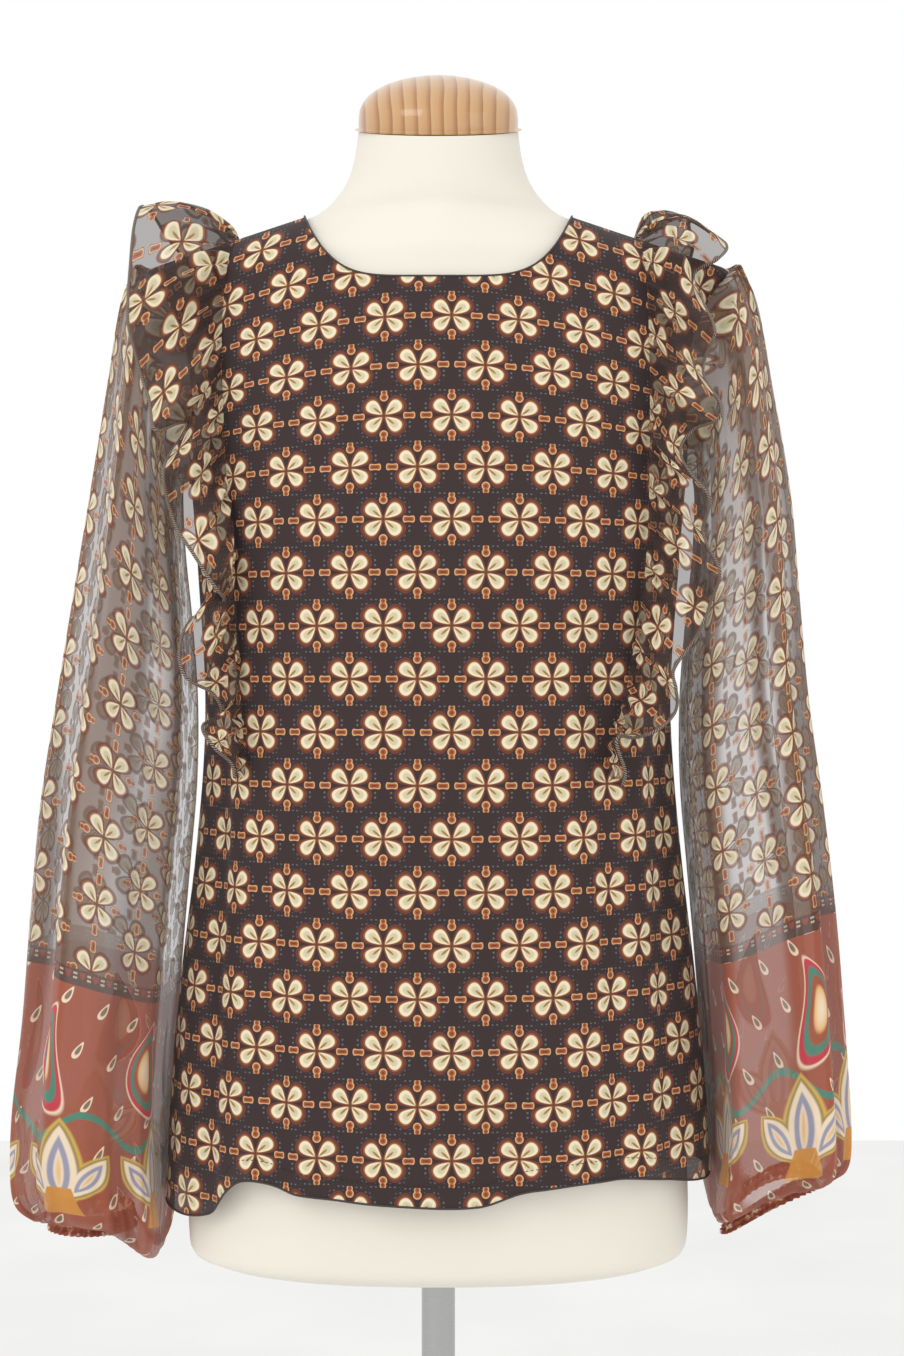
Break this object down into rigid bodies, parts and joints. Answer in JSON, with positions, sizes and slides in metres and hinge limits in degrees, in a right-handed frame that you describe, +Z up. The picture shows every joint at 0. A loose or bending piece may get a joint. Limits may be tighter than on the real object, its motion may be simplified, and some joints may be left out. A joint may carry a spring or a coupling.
{
  "type": "blouse on dress form",
  "caption": "Long-sleeved blouse with sheer gathered sleeves, elastic cuffs and ruffles in its front seams, hanging on a limbless dress form on a round stand.",
  "frame": {"origin": "middle of the stand base's underside", "axes": "+Z up along the stand, -Y towards the front of the blouse, +X towards the wearer's left"},
  "size_m": [0.5402, 0.33, 1.2761],
  "materials": {
    "printed_chiffon": "matte printed",
    "sheer_chiffon": "sheer printed",
    "border_chiffon": "matte ruched",
    "button": "polished",
    "form_jersey": "smooth knit",
    "lacquered_pine": "lacquered",
    "brushed_steel": "brushed"
  },
  "bodies": {
    "root": {"front_panel": "printed_chiffon", "side_front_right": "printed_chiffon", "side_front_left": "printed_chiffon", "back_panel": "printed_chiffon", "back_button": "button", "sleeve_right": "sheer_chiffon", "sleeve_left": "sheer_chiffon", "cuff_right": "border_chiffon", "cuff_left": "border_chiffon", "ruffle_right": "sheer_chiffon", "ruffle_left": "sheer_chiffon", "form_torso": "form_jersey", "neck_cap": "lacquered_pine", "stand_pole": "brushed_steel", "stand_collar": "brushed_steel", "stand_base": "brushed_steel"}
  },
  "joints": []
}
